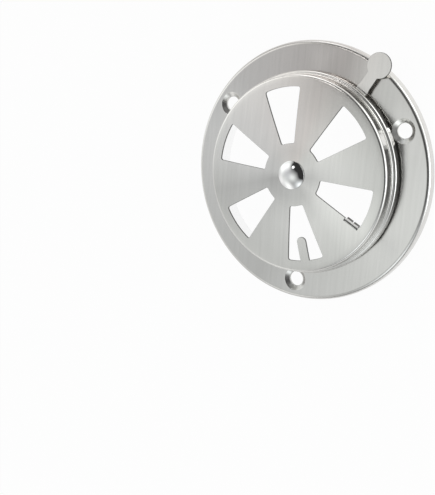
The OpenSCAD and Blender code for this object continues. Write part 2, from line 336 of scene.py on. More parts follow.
class Skin:
    """Points and faces gathered while the skin of a sheet is made, each face with its finish."""

    def __init__(self):
        self.points = []
        self.faces = []
        self.finishes = []
        self.finish = FRONT

    def row(self, points):
        """Adds points and returns their numbers."""
        first = len(self.points)
        self.points.extend(tuple(p) for p in points)
        return list(range(first, len(self.points)))

    def face(self, *numbers):
        """Adds a face with the finish that is in use."""
        self.faces.append(numbers)
        self.finishes.append(self.finish)

    def strip(self, a, b, closed=False):
        """Faces between two rows of as many points."""
        for i in range(len(a) if closed else len(a) - 1):
            j = (i + 1) % len(a)
            self.face(a[i], a[j], b[j], b[i])

    def spin(self, section, angles, closed=False):
        """Turns a section of radii and heights about the Z axis and returns its rows."""
        rows = [
            self.row((r * math.cos(a), r * math.sin(a), z) for a in angles) for r, z in section
        ]
        for a, b in zip(rows, rows[1:]):
            self.strip(a, b, closed)
        return rows

    def fill(self, outline, holes, height, step=None):
        """Fills a flat outline around its holes and lifts it to the height at each radius."""
        loops = [outline, *holes]
        points, edges = [], []
        for loop in loops:
            n, first = len(loop), len(points)
            points += loop
            edges += [(first + i, first + (i + 1) % n) for i in range(n)]
        if step:
            points = points + inner_points(outline, holes, step)
        flat, _, triangles, *_ = delaunay_2d_cdt(
            [Vector(p) / MM for p in points], edges, [], 0, 1e-6
        )
        flat = [(p.x * MM, p.y * MM) for p in flat]
        numbers = self.row((x, y, height(math.hypot(x, y))) for x, y in flat)
        for triangle in triangles:
            a, b, c = (Vector(flat[i]) for i in triangle)
            if abs((b - a).cross(c - a)) < SLIVER:
                continue
            middle = (a + b + c) / 3
            if inside(middle, outline) and not any(inside(middle, h) for h in holes):
                self.face(*(numbers[i] for i in triangle))

    def cut_edge(self, loop, top, bottom, burr):
        """Wall of a cut through a sheet with both corners broken; top and bottom are heights."""
        wide = grown(loop, burr)
        rows = [
            self.row((x, y, height(math.hypot(x, y)) + drop) for x, y in points)
            for points, height, drop in (
                (wide, top, 0), (loop, top, -burr), (loop, bottom, burr), (wide, bottom, 0)
            )
        ]
        for a, b in zip(rows, rows[1:]):
            self.strip(a, b, closed=True)
        return wide

    def mesh(self, name):
        """The gathered faces as a mesh."""
        made = bpy.data.meshes.new(name)
        made.from_pydata(self.points, [], self.faces)
        made.attributes.new("finish", "INT", "FACE").data.foreach_set("value", self.finishes)
        return made


def inner_points(outline, holes, step):
    """Points on rings about the Z axis that lie inside an outline, clear of its edges."""
    fence = [p for loop in [outline, *holes] for p in loop]
    reach = max(math.hypot(*p) for p in outline)
    found = []
    for ring in range(1, int(reach / step) + 1):
        r = ring * step
        count = int(FULL_TURN * r / step)
        for i in range(count):
            a = FULL_TURN * (i + 0.5 * (ring % 2)) / count
            p = (r * math.cos(a), r * math.sin(a))
            clear = all(math.dist(p, q) > 0.45 * step for q in fence)
            if clear and inside(p, outline) and not any(inside(p, h) for h in holes):
                found.append(p)
    return found


def add_socket(tree, name, kind, value=None, way="INPUT"):
    """A named socket on the outside of a node group."""
    socket = tree.interface.new_socket(name, in_out=way, socket_type=kind)
    if value is not None:
        socket.default_value = value
    return socket


def ring_tree():
    """Node group that sets copies of a mesh round the Z axis, welds and finishes them."""
    known = bpy.data.node_groups.get("copies_round_the_axis")
    if known:
        return known
    tree = bpy.data.node_groups.new("copies_round_the_axis", "GeometryNodeTree")
    add_socket(tree, "Geometry", "NodeSocketGeometry")
    add_socket(tree, "Count", "NodeSocketInt", 1)
    add_socket(tree, "First azimuth", "NodeSocketFloat", 0.0)
    add_socket(tree, "Pitch", "NodeSocketFloat", 0.0)
    add_socket(tree, "Weld distance", "NodeSocketFloat", WELD)
    add_socket(tree, "Finish", "NodeSocketMaterial")
    add_socket(tree, "Geometry", "NodeSocketGeometry", way="OUTPUT")
    nodes, link = tree.nodes, tree.links.new
    given = nodes.new("NodeGroupInput").outputs
    spots = nodes.new("GeometryNodePoints")
    index = nodes.new("GeometryNodeInputIndex")
    step = nodes.new("ShaderNodeMath")
    step.operation = "MULTIPLY"
    azimuth = nodes.new("ShaderNodeMath")
    turn = nodes.new("ShaderNodeMath")
    turn.operation = "SUBTRACT"
    turn.inputs[0].default_value = QUARTER
    about_z = nodes.new("ShaderNodeCombineXYZ")
    copies = nodes.new("GeometryNodeInstanceOnPoints")
    solid = nodes.new("GeometryNodeRealizeInstances")
    weld = nodes.new("GeometryNodeMergeByDistance")
    finish = nodes.new("GeometryNodeSetMaterial")
    result = nodes.new("NodeGroupOutput")
    link(given["Count"], spots.inputs["Count"])
    link(index.outputs[0], step.inputs[0])
    link(given["Pitch"], step.inputs[1])
    link(step.outputs[0], azimuth.inputs[0])
    link(given["First azimuth"], azimuth.inputs[1])
    link(azimuth.outputs[0], turn.inputs[1])
    link(turn.outputs[0], about_z.inputs["Z"])
    link(spots.outputs[0], copies.inputs["Points"])
    link(given["Geometry"], copies.inputs["Instance"])
    link(about_z.outputs[0], copies.inputs["Rotation"])
    link(copies.outputs[0], solid.inputs[0])
    link(given["Weld distance"], weld.inputs["Distance"])
    link(solid.outputs[0], weld.inputs["Geometry"])
    link(weld.outputs[0], finish.inputs["Geometry"])
    link(given["Finish"], finish.inputs["Material"])
    link(finish.outputs[0], result.inputs[0])
    return tree


def round_the_axis(mesh, material, azimuth, count=1, pitch=0.0):
    """A mesh drawn along +X, copied to an azimuth and on round the axis."""
    tree = ring_tree()
    carrier = bpy.data.objects.new(mesh.name, mesh)
    bpy.context.collection.objects.link(carrier)
    ring = carrier.modifiers.new("ring", "NODES")
    ring.node_group = tree
    values = {
        "Count": count, "First azimuth": azimuth, "Pitch": pitch,
        "Weld distance": WELD, "Finish": material,
    }
    for item in tree.interface.items_tree:
        if item.in_out == "INPUT" and item.name in values:
            ring[item.identifier] = values[item.name]
    graph = bpy.context.evaluated_depsgraph_get()
    result = bpy.data.meshes.new_from_object(carrier.evaluated_get(graph), depsgraph=graph)
    carrier.modifiers.remove(ring)
    bpy.data.objects.remove(carrier)
    return result


def closed_piece(name, meshes, materials, smooth=math.radians(32)):
    """Welds meshes into one closed skin with a list of finishes and links it as an object."""
    skin = bmesh.new()
    for mesh in meshes:
        skin.from_mesh(mesh)
    bmesh.ops.remove_doubles(skin, verts=skin.verts, dist=WELD)
    bmesh.ops.dissolve_degenerate(skin, edges=skin.edges, dist=WELD / 4)
    loose = [v for v in skin.verts if not v.link_faces]
    bmesh.ops.delete(skin, geom=loose, context="VERTS")
    bmesh.ops.recalc_face_normals(skin, faces=skin.faces)
    gaps = [e for e in skin.edges if len(e.link_faces) != 2]
    if gaps:
        spots = {tuple(round(c / MM, 1) for c in e.verts[0].co) for e in gaps}
        raise RuntimeError(f"{name} has {len(gaps)} open edges, such as {sorted(spots)[:8]}")
    result = bpy.data.meshes.new(name)
    skin.to_mesh(result)
    skin.free()
    result.materials.clear()
    for material in materials:
        result.materials.append(material)
    places = [0] * len(result.polygons)
    result.attributes["finish"].data.foreach_get("value", places)
    result.polygons.foreach_set("material_index", places)
    result.attributes.remove(result.attributes["finish"])
    result.shade_smooth()
    result.set_sharp_from_angle(angle=smooth)
    piece = bpy.data.objects.new(name, result)
    bpy.context.collection.objects.link(piece)
    return piece


# ---- finishes


class Wire:
    """A socket of a shader; sums and products of it add Math nodes."""

    def __init__(self, board, socket):
        self.board = board
        self.socket = socket

    def math(self, operation, *inputs):
        return self.board.node("ShaderNodeMath", {"operation": operation}, inputs)

    def __add__(self, other):
        return self.math("ADD", self, other)

    def __sub__(self, other):
        return self.math("SUBTRACT", self, other)

    def __mul__(self, other):
        return self.math("MULTIPLY", self, other)

    def __rsub__(self, other):
        return self.math("SUBTRACT", other, self)

    __radd__ = __add__
    __rmul__ = __mul__


class Board:
    """The nodes of one material or of the world."""

    def __init__(self, owner):
        owner.use_nodes = True
        self.tree = owner.node_tree
        self.tree.nodes.clear()

    def node(self, kind, settings=None, inputs=(), output=0):
        """Adds a node with its settings and inputs, and returns one of its outputs."""
        made = self.tree.nodes.new(kind)
        for key, value in (settings or {}).items():
            setattr(made, key, value)
        pairs = inputs.items() if isinstance(inputs, dict) else enumerate(inputs)
        for key, value in pairs:
            if isinstance(value, Wire):
                self.tree.links.new(value.socket, made.inputs[key])
            else:
                made.inputs[key].default_value = value
        return Wire(self, made.outputs[output]) if len(made.outputs) else None

    def times(self, first, second):
        """Multiplies two colours."""
        return self.node(
            "ShaderNodeMix", {"data_type": "RGBA", "blend_type": "MULTIPLY"},
            {0: 1.0, 6: first, 7: second}, 2,
        )

    def ramp(self, factor, stops, scale, start=0.0):
        """Colour ramp through stops of a place and a grey or a colour."""
        made = self.node("ShaderNodeValToRGB", inputs=(factor,))
        elements = made.socket.node.color_ramp.elements
        while len(elements) < len(stops):
            elements.new(0.5)
        for element, (place, tone) in zip(elements, stops):
            element.position = place * scale + start
            element.color = (*tone, 1) if isinstance(tone, tuple) else (tone, tone, tone, 1)
        return made

    def mix(self, factor, first, second):
        """Mixes two colours."""
        return self.node(
            "ShaderNodeMix", {"data_type": "RGBA"}, {0: factor, 6: first, 7: second}, 2
        )


def named_material(name):
    """The material of that name, made if it isn't there."""
    return bpy.data.materials.get(name) or bpy.data.materials.new(name)


# Painted sheen of the pressed sheets: light and dark tones by azimuth in degrees, and by radius in
# millimetres
BASE_PAINTED_SHEEN_BY_AZIMUTH = (
    (-180, 0.78), (-158, 0.70), (-75, 0.93), (-45, 0.83), (16, 0.79), (30, 1.0), (80, 0.96),
    (150, 0.80), (180, 0.78),
)
CAP_PAINTED_SHEEN_BY_AZIMUTH = (
    (-180, 0.79), (-108, 0.67), (-88, 0.86), (-30, 0.97), (30, 0.98), (60, 0.98), (90, 0.80),
    (118, 0.89), (140, 0.77), (180, 0.79),
)
CAP_PAINTED_SHEEN_BY_RADIUS = ((0, 0.84), (9, 0.86), (14, 0.96), (20, 1.0), (27, 0.97), (36, 0.95))
# Painted reddish tint of the sheen on the sheets about one azimuth
PAINTED_REDDISH_TINT = ((-70, (1, 1, 1)), (14, (1, 0.955, 0.935)), (40, (1, 1, 0.985)), (80, (1, 1, 1)))


def steel(name, shade, rough, grain_azimuth, grain=1.0, around=(), outward=()):
    """Brushed sheet: fine scratches along one way, with cloudy changes of tone and gloss, and painted
    sheen by azimuth and radius where given.
    """
    material = named_material(name)
    board = Board(material)
    place = board.node("ShaderNodeTexCoord", output="Object")
    turn = Euler((0, 0, grain_azimuth))
    along_grain = lambda across, along: board.node(
        "ShaderNodeMapping", inputs={0: place, 2: turn, 3: (across, along, along)}
    )
    fine = board.node(
        "ShaderNodeTexNoise", inputs={"Vector": along_grain(5200, 130), "Scale": 1, "Detail": 3}
    )
    streak = board.node(
        "ShaderNodeTexNoise", inputs={"Vector": along_grain(900, 16), "Scale": 1, "Detail": 4}
    )
    cloud = board.node(
        "ShaderNodeTexNoise", inputs={"Vector": place, "Scale": 55, "Detail": 3}
    )
    tone = streak * 0.5 + fine * 0.25 + cloud * 0.25
    dark = tuple(c * 0.96 for c in shade) + (1,)
    light = tuple(min(c * 1.04, 1) for c in shade) + (1,)
    spread = board.node("ShaderNodeMapRange", inputs=(tone, 0.36, 0.64, 0, 1))
    tint = board.mix(spread, dark, light)
    # Painted sheen and a painted reddish tint by azimuth multiply the colour
    if around:
        x, y = (board.node("ShaderNodeSeparateXYZ", inputs=(place,), output=i) for i in "XY")
        turn = x.math("ARCTAN2", x, y) * (1 / FULL_TURN) + 0.5
        for stops in (around, PAINTED_REDDISH_TINT):
            tint = board.times(tint, board.ramp(turn, stops, 1 / 360, 0.5))
    # Painted sheen by radius multiplies the colour
    if outward:
        flat = board.node(
            "ShaderNodeVectorMath", {"operation": "MULTIPLY"}, (place, (1 / MM, 1 / MM, 0))
        )
        reach = board.node(
            "ShaderNodeVectorMath", {"operation": "LENGTH"}, (flat,), output="Value"
        )
        tint = board.times(tint, board.ramp(reach * 0.025, outward, 0.025))
    gloss = rough + (fine - 0.5) * (0.02 * grain) + (cloud - 0.5) * 0.04
    bump = board.node(
        "ShaderNodeBump",
        inputs={"Strength": 0.05 * grain, "Distance": 0.00002, "Height": fine * 0.6 + streak * 0.4},
    )
    surface = board.node("ShaderNodeBsdfPrincipled", inputs={
        "Base Color": tint, "Metallic": 1.0, "Roughness": gloss, "Normal": bump,
    })
    board.node("ShaderNodeOutputMaterial", inputs={"Surface": surface})
    return material


def polished(name, shade, rough):
    """Polished steel with the faint waviness of a formed head."""
    material = named_material(name)
    board = Board(material)
    place = board.node("ShaderNodeTexCoord", output="Object")
    wave = board.node("ShaderNodeTexNoise", inputs={"Vector": place, "Scale": 260, "Detail": 2})
    smear = board.node("ShaderNodeTexNoise", inputs={"Vector": place, "Scale": 900, "Detail": 3})
    bump = board.node(
        "ShaderNodeBump", inputs={"Strength": 0.2, "Distance": 0.0001, "Height": wave}
    )
    tint = board.mix(smear, tuple(c * 0.95 for c in shade) + (1,), tuple(shade) + (1,))
    surface = board.node("ShaderNodeBsdfPrincipled", inputs={
        "Base Color": tint, "Metallic": 1.0, "Roughness": rough + smear * 0.04, "Normal": bump,
    })
    board.node("ShaderNodeOutputMaterial", inputs={"Surface": surface})
    return material


# ---- the damper's own shapes


class Dome:
    """A domed plate with a flat seat, rounded into a wall, as one face of a sheet."""

    def __init__(self, radius, centre_z, wall_r, bend, seat_r, seat_z):
        self.radius, self.centre_z = radius, centre_z
        self.wall_r, self.bend = wall_r, bend
        self.seat_r, self.seat_z = seat_r, seat_z
        self.slope = math.asin((wall_r - bend) / (radius - bend))
        self.join_r = radius * math.sin(self.slope)
        self.bend_z = centre_z + (radius - bend) * math.cos(self.slope)

    def height(self, r):
        """Height of the face at a radius."""
        dome = self.centre_z + math.sqrt(self.radius**2 - min(r, self.join_r) ** 2)
        return self.seat_z if r <= self.seat_r else dome

    def edge(self, steps=9):
        """Section of the rounded edge, from the face out to the wall."""
        centre = (self.wall_r - self.bend, self.bend_z)
        return arc(centre, self.bend, QUARTER - self.slope, 0, steps)


def cap_faces():
    """Front and back face of the cap's plate."""
    sheet, cap = bpy.context.scene.damper_sheet, bpy.context.scene.damper_cap
    run = cap.cap_r - cap.edge_bend
    radius = (run**2 + sheet.dome_rise**2) / (2 * sheet.dome_rise)
    centre_z = cap.cap_h - radius
    seat_z = centre_z + math.sqrt(radius**2 - sheet.seat_r**2)
    t = sheet.thickness
    return [
        Dome(radius - d, centre_z, cap.cap_r - d, cap.edge_bend - d, sheet.seat_r, seat_z - d)
        for d in (0, t)
    ]


def base_faces():
    """Front and back face of the housing's plate."""
    sheet, base = bpy.context.scene.damper_sheet, bpy.context.scene.damper_base
    front = cap_faces()[0]
    t = sheet.thickness
    drop = t + sheet.plate_gap
    return [
        Dome(
            front.radius - drop - d, front.centre_z, base.housing_r - d, base.housing_bend - d,
            sheet.seat_r, front.seat_z - drop - d,
        )
        for d in (0, t)
    ]


def plate_sector(name, faces, loop, lined=False):
    """One window's share of a domed plate, from the bore to the rounded edge.

    A lined plate has the inside's finish on its back and on the window's cut wall.
    """
    sheet = bpy.context.scene.damper_sheet
    front, back = faces
    half = FULL_TURN / bpy.context.scene.damper_cap.window_count / 2
    columns = COLUMNS // bpy.context.scene.damper_cap.window_count
    skin = Skin()
    # The cap's window walls take the dark cut finish as painted shade; a lined housing's take the
    # inside's painted light
    skin.finish = INSIDE if lined else CUT_PAINTED_DARK
    loop = refined(loop, sheet.mesh_step)
    wide = skin.cut_edge(loop, front.height, back.height, sheet.burr)
    for face in faces:
        # A lined plate's back takes the inside's finish, painted near white as light from behind
        skin.finish = INSIDE if lined and face is back else FRONT
        side = line((sheet.bore_r, 0), (face.join_r, 0), 16)
        outline = (
            arc((0, 0), face.join_r, -half, half, columns)
            + turned(side[::-1], half)
            + arc((0, 0), sheet.bore_r, half, -half, columns)
            + turned(side, -half)
        )
        skin.fill(without_doubles(outline), [wide], face.height, sheet.mesh_step)
    bore = [(sheet.bore_r, front.seat_z), (sheet.bore_r, back.seat_z)]
    skin.spin(bore, [-half + 2 * half * i / columns for i in range(columns + 1)])
    return skin.mesh(name)


def third_of_base():
    """A third of the housing's wall, flange and rim, with the dish of one screw hole."""
    sheet, base = bpy.context.scene.damper_sheet, bpy.context.scene.damper_base
    front, back = base_faces()
    t, burr = sheet.thickness, sheet.burr
    half = FULL_TURN / SCREWS["count"] / 2
    columns = COLUMNS // SCREWS["count"]
    angles = [-half + 2 * half * i / columns for i in range(columns + 1)]
    foot = (base.housing_r + base.foot_fillet, base.flange_h + base.foot_fillet)
    bend = (base.flange_r - base.rim_bend, base.flange_h - base.rim_bend)
    skin = Skin()
    skin.spin(front.edge() + arc(foot, base.foot_fillet, 2 * QUARTER, 3 * QUARTER, 6), angles)
    # The wall's back takes the inside's finish, painted near white as light from behind
    skin.finish = INSIDE
    skin.spin(back.edge() + arc(foot, base.foot_fillet + t, 2 * QUARTER, 3 * QUARTER, 6), angles)
    skin.finish = FRONT
    rim = arc(bend, base.rim_bend, QUARTER, 0, 12)
    rim += [(base.flange_r, burr), (base.flange_r - burr, 0)]
    rim += [(base.flange_r - t + burr, 0), (base.flange_r - t, burr)]
    rim += arc(bend, base.rim_bend - t, 0, QUARTER, 12)
    skin.spin(rim, angles)
    at = SCREWS["pcd_mm"] / 2 * MM
    top, mouths = dish_section()
    around = [FULL_TURN * i / 72 for i in range(72)]
    rows = [
        skin.row((at + r * math.cos(a), r * math.sin(a), z) for a in around) for r, z in top
    ]
    for a, b in zip(rows, rows[1:]):
        skin.strip(a, b, closed=True)
    side = line((foot[0], 0), (bend[0], 0), 6)
    outline = without_doubles(
        arc((0, 0), bend[0], -half, half, columns)
        + turned(side[::-1], half)
        + arc((0, 0), foot[0], half, -half, columns)
        + turned(side, -half)
    )
    for mouth, level, finish in zip(mouths, (base.flange_h, base.flange_h - t), (FRONT, INSIDE)):
        skin.finish = finish
        hole = [(at + mouth * math.cos(a), mouth * math.sin(a)) for a in around]
        skin.fill(outline, [hole], lambda r, z=level: z)
    return skin.mesh("third_of_base")


def rounded(corners, steps=5):
    """A section through corners of radius, height and rounding radius."""
    result = [corners[0][:2]]
    for before, corner, after in zip(corners, corners[1:], corners[2:]):
        here = Vector(corner[:2])
        back_way = (Vector(before[:2]) - here).normalized()
        on_way = (Vector(after[:2]) - here).normalized()
        half = back_way.angle(on_way) / 2
        reach = corner[2] / math.tan(half)
        middle = here + (back_way + on_way).normalized() * (corner[2] / math.sin(half))
        start, end = here + back_way * reach - middle, here + on_way * reach - middle
        sweep = start.angle_signed(end)
        first = math.atan2(start.y, start.x)
        result += arc(middle, corner[2], first, first - sweep, steps)
    return result + [corners[-1][:2]]


def dish_section():
    """Section of a dish about its screw hole, and the radius where each face leaves the flange."""
    sheet, base = bpy.context.scene.damper_sheet, bpy.context.scene.damper_base
    hole_r, t, burr = SCREWS["hole_r_mm"] * MM, sheet.thickness, sheet.burr
    land_r = hole_r + base.dish_land
    slope = math.atan2(base.dish_depth, base.dish_r - land_r)
    fold = t * math.tan(slope / 2)
    top, low = base.flange_h, base.flange_h - base.dish_depth
    reach = base.dish_round * math.tan(slope / 2)
    mouth = base.dish_r + 1.5 * reach
    back_mouth = base.dish_r - fold + 1.5 * reach
    soft, crisp = base.dish_round, 0.25 * MM
    front = rounded([(mouth, top), (base.dish_r, top, soft), (land_r, low, crisp), (hole_r + burr, low)])
    back = rounded([
        (hole_r + burr, low - t), (land_r - fold, low - t, burr / 4),
        (base.dish_r - fold, top - t, soft), (back_mouth, top - t),
    ])
    wall = [(hole_r, low - burr), (hole_r, low - t + burr)]
    return front + wall + back, (mouth, back_mouth)


def slotted_side(cap, base):
    """Counterclockwise side of the housing window with the slot that the stop tab shuts into."""
    r_in = cap.tab_mid - cap.tab_w / 2 - cap.tab_gap
    r_out = cap.tab_mid + cap.tab_w / 2 + cap.tab_gap
    half = cap.window_half + base.window_lap
    corner = cap.window_corner
    far = base_window_radii(cap, base)[1] - corner
    # The tab's shut place lies this far counterclockwise of the window's middle
    shut = math.radians(TRAVEL) - cap.window_half
    side = lambda r, a: (r * math.cos(a), r * math.sin(a))
    turn = half - math.asin(corner / far)
    rounding = arc(side(far, turn), corner, turn, half + QUARTER, 6)
    return (
        rounding + arc((0, 0), r_out, half, shut, 4) + line(side(r_out, shut), side(r_in, shut), 4)
        + arc((0, 0), r_in, shut, half, 4)
    )


def base_window_radii(cap, base):
    """Inner and outer radius of a housing window."""
    return cap.window_in - base.window_margin, cap.window_out + base.window_margin


def finger_arc(cap):
    """The outer arc of the window that holds the finger, with the finger's outline in it."""
    corner, half, r = cap.window_corner, cap.window_half, cap.window_out
    edge = half - math.asin(corner / (r - corner))
    width, middle = cap.finger_w / 2, -cap.finger_shift
    low, high = middle - width, middle + width
    start = cap.finger_tip + width
    foot = [(math.sqrt(r**2 - y**2), y) for y in (low, high)]
    return (
        arc((0, 0), r, -edge, math.asin(low / r), 8)
        + line(foot[0], (start, low), 4)[1:-1]
        + arc((start, middle), width, -QUARTER, -3 * QUARTER, 16)
        + line((start, high), foot[1], 4)[1:-1]
        + arc((0, 0), r, math.asin(high / r), edge, 8)
    )


def notched_side(cap):
    """Clockwise side of the window whose notch the stop tab is folded from, going outwards."""
    reach = cap.tab_w / 2 + cap.tab_gap
    r_in, r_out = cap.tab_mid - reach, cap.tab_mid + reach
    floor = -(cap.tab_back + cap.tab_bend)
    corner, far = cap.window_corner, cap.window_out - cap.window_corner
    centre = (math.sqrt(far**2 - corner**2), corner)
    rounding = arc(
        centre, corner, -math.acos((r_out - centre[0]) / corner), math.asin(corner / far), 5
    )
    return turned([(r_in, 0), (r_in, floor), (r_out, floor), *rounding], -cap.window_half)


def wall_and_lever(faces):
    """The cap's stepped wall and the lever that its lower edge is bent out to, along +X."""
    sheet, cap = bpy.context.scene.damper_sheet, bpy.context.scene.damper_cap
    t, burr = sheet.thickness, sheet.burr
    skirt_r = cap.cap_r + cap.step_w
    fillet = cap.step_w - cap.step_bend
    lip = cap.lever_h - t
    split = cap.lever_h + cap.arm_bend
    root = math.asin(cap.arm_root_w / 2 / skirt_r)
    reach = math.ceil(math.degrees(root))
    plain = [math.radians(i) for i in range(COLUMNS)]
    angles = list(plain)
    angles[reach], angles[-reach] = root, FULL_TURN - root
    skin = Skin()
    for face, d in zip(faces, (0, t)):
        inner_step = (cap.cap_r + fillet, cap.step_h + fillet)
        outer_step = (skirt_r - cap.step_bend, cap.step_h - cap.step_bend)
        section = face.edge()
        section += arc(inner_step, fillet + d, 2 * QUARTER, 3 * QUARTER, 5)
        section += arc(outer_step, cap.step_bend - d, QUARTER, 0, 7)
        section = without_doubles(section + [(skirt_r - d, split)], closed=False)
        first = skin.row(
            (section[0][0] * math.cos(a), section[0][0] * math.sin(a), section[0][1])
            for a in plain
        )
        rows = skin.spin(section[1:], angles, closed=True)
        skin.strip(first, rows[0], closed=True)
    lower = [
        (skirt_r, split), (skirt_r, lip + burr), (skirt_r - burr, lip),
        (skirt_r - t + burr, lip), (skirt_r - t, lip + burr), (skirt_r - t, split),
    ]
    rows = skin.spin(lower, angles[reach:len(angles) - reach + 1])
    skin.face(*(r[0] for r in rows))
    skin.face(*(r[-1] for r in rows))
    across = [a - FULL_TURN for a in angles[-reach:]] + angles[:reach + 1]
    middle = (skirt_r + cap.arm_bend, split)
    bends = [
        skin.spin(arc(middle, r, 2 * QUARTER, 3 * QUARTER, 8), across)
        for r in (cap.arm_bend, cap.arm_bend + t)
    ]
    # The ends of the root's bend and the arm's cut edges take the dark cut finish, painted shade
    skin.finish = CUT_PAINTED_DARK
    for end in (0, -1):
        skin.strip([r[end] for r in bends[0]], [r[end] for r in bends[1]])
    width = cap.arm_w / 2
    start = middle[0] * math.cos(root) + cap.arm_taper
    meet = math.asin(width / cap.pad_r)
    root_row = [(middle[0] * math.cos(a), middle[0] * math.sin(a)) for a in reversed(across)]
    outline = (
        root_row
        + line((start, -width), (cap.pad_at - cap.pad_r * math.cos(meet), -width), 6)
        + arc((cap.pad_at, 0), cap.pad_r, meet - 2 * QUARTER, 2 * QUARTER - meet, 56)[1:]
        + line((cap.pad_at - cap.pad_r * math.cos(meet), width), (start, width), 6)[1:]
    )
    pinned = range(len(root_row))
    inner = skin_outline(skin, outline, cap.lever_h, lip, burr, pinned)
    skin.finish = FRONT
    for level in (cap.lever_h, lip):
        skin.fill(inner, [], lambda r, z=level: z)
    return skin.mesh("wall_and_lever")


def skin_outline(skin, outline, top, bottom, burr, pinned):
    """Edge of the flat arm and pad, with the broken corners running out at its pinned points."""
    inner = grown(outline, -burr, pinned)
    rows = []
    for points, z, drop in (
        (inner, top, 0), (outline, top, -burr), (outline, bottom, burr), (inner, bottom, 0)
    ):
        rows.append(skin.row(
            (x, y, z + (0 if i in pinned else drop)) for i, (x, y) in enumerate(points)
        ))
    last = len(pinned) - 1
    for a, b in zip(rows, rows[1:]):
        skin.strip(a[last:] + a[:1], b[last:] + b[:1])
    return inner


def stop_tab(face):
    """The folded stop tab: a bend and two prongs, square to the domed face where it hangs."""
    sheet, cap = bpy.context.scene.damper_sheet, bpy.context.scene.damper_cap
    t, wide, slot = sheet.thickness, cap.tab_w / 2, cap.tab_slot / 2
    middle = (cap.tab_back + cap.tab_bend, -cap.tab_bend)
    outer = arc(middle, cap.tab_bend, QUARTER, 2 * QUARTER, 8)
    inner = arc(middle, cap.tab_bend - t, QUARTER, 2 * QUARTER, 8)
    skin = Skin()
    lean = math.asin(cap.tab_mid / face.radius)
    mid_z = face.height(cap.tab_mid)

    def place(along, back, up):
        x, z = along * math.cos(lean) + up * math.sin(lean), up * math.cos(lean) - along * math.sin(lean)
        return (cap.tab_mid + x, -back, mid_z + z)

    stations = (-wide, -slot, slot, wide)
    rows = {
        name: [skin.row(place(w, u, v) for w in stations) for u, v in path]
        for name, path in (("outer", outer), ("inner", inner))
    }
    for path in rows.values():
        for a, b in zip(path, path[1:]):
            skin.strip(a, b)
    skin.strip(rows["outer"][0], rows["inner"][0])
    # The tab's cut ends and both hanging prongs, broad faces too, take the dark cut finish, painted
    # shade
    skin.finish = CUT_PAINTED_DARK
    for end in (0, -1):
        skin.strip([r[end] for r in rows["outer"]], [r[end] for r in rows["inner"]])
    out, back = rows["outer"][-1], rows["inner"][-1]
    skin.face(out[1], out[2], back[2], back[1])
    burr = sheet.burr
    for first, last, a, b in ((0, 1, -wide, -slot), (2, 3, slot, wide)):
        top = [out[first], out[last], back[last], back[first]]
        u0, u1, v = cap.tab_back, cap.tab_back + t, -cap.tab_drop
        foot = skin.row(place(w, u, v + burr) for w, u in ((a, u0), (b, u0), (b, u1), (a, u1)))
        tip = skin.row(place(w, u, v) for w, u in (
            (a + burr, u0 + burr), (b - burr, u0 + burr), (b - burr, u1 - burr), (a + burr, u1 - burr)
        ))
        skin.strip(top, foot, closed=True)
        skin.strip(foot, tip, closed=True)
        skin.face(*tip)
    return skin.mesh("stop_tab")


# ---- operators


class DAMPER_OT_finishes(bpy.types.Operator):
    """Makes the steels and gives the hidden washers theirs"""

    bl_idname = "damper.finishes"
    bl_label = "Steels and washers"

    def execute(self, context):
        look = context.scene.damper_finish
        # Base and cap carry painted sheen by azimuth, and the cap by radius too
        steel(
            "base_finish", look.base_steel, look.base_rough, look.grain_azimuth, around=BASE_PAINTED_SHEEN_BY_AZIMUTH
        )
        steel(
            "cap_finish", look.cap_steel, look.cap_rough, look.grain_azimuth,
            around=CAP_PAINTED_SHEEN_BY_AZIMUTH, outward=CAP_PAINTED_SHEEN_BY_RADIUS,
        )
        # Sheared edges painted dark, as painted shade
        steel("cut_steel_painted_dark", look.cut_steel_painted_dark, look.cut_rough, 0, grain=0.3)
        # The housing's inside painted near white, as painted light from behind
        polished("inside_steel_painted_bright", look.inside_steel_painted_bright, look.inside_rough)
        polished("rivet_finish", look.rivet_steel, look.rivet_rough)
        plain = steel("washer_finish", look.washer_steel, look.washer_rough, 0, grain=0.5)
        for name in ("spacer_washer", "back_washer"):
            node = frame["nodes"][name]
            for spot in node.material_slots:
                spot.material = plain
        return {"FINISHED"}


class DAMPER_OT_base(bpy.types.Operator):
    """Makes the base: flange, rim, screw dishes, housing wall and domed plate with its windows"""

    bl_idname = "damper.base"
    bl_label = "Base"

    def execute(self, context):
        base, cap = context.scene.damper_base, context.scene.damper_cap
        material = bpy.data.materials["base_finish"]
        faces = base_faces()
        r_in, r_out = base_window_radii(cap, base)
        half = cap.window_half + base.window_lap
        pitch = FULL_TURN / cap.window_count
        first = cap.lever_lead + math.radians(TRAVEL)
        plain = window_loop(r_in, r_out, half, cap.window_corner)
        slotted = window_loop(
            r_in, r_out, half, cap.window_corner, left=slotted_side(cap, base)
        )
        parts = [
            round_the_axis(
                third_of_base(), material, base.screw_azimuth, SCREWS["count"],
                FULL_TURN / SCREWS["count"],
            ),
            round_the_axis(
                plate_sector("base_sector", faces, plain, lined=True), material, first + 2 * pitch,
                cap.window_count - 1, pitch,
            ),
            round_the_axis(
                plate_sector("base_stop_sector", faces, slotted, lined=True), material,
                first + pitch,
            ),
        ]
        finishes = [bpy.data.materials[n] for n in ("base_finish", "cut_steel_painted_dark", "inside_steel_painted_bright")]
        piece = closed_piece("base_sheet", parts, finishes)
        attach(piece, "housing")
        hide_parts("base")
        return {"FINISHED"}


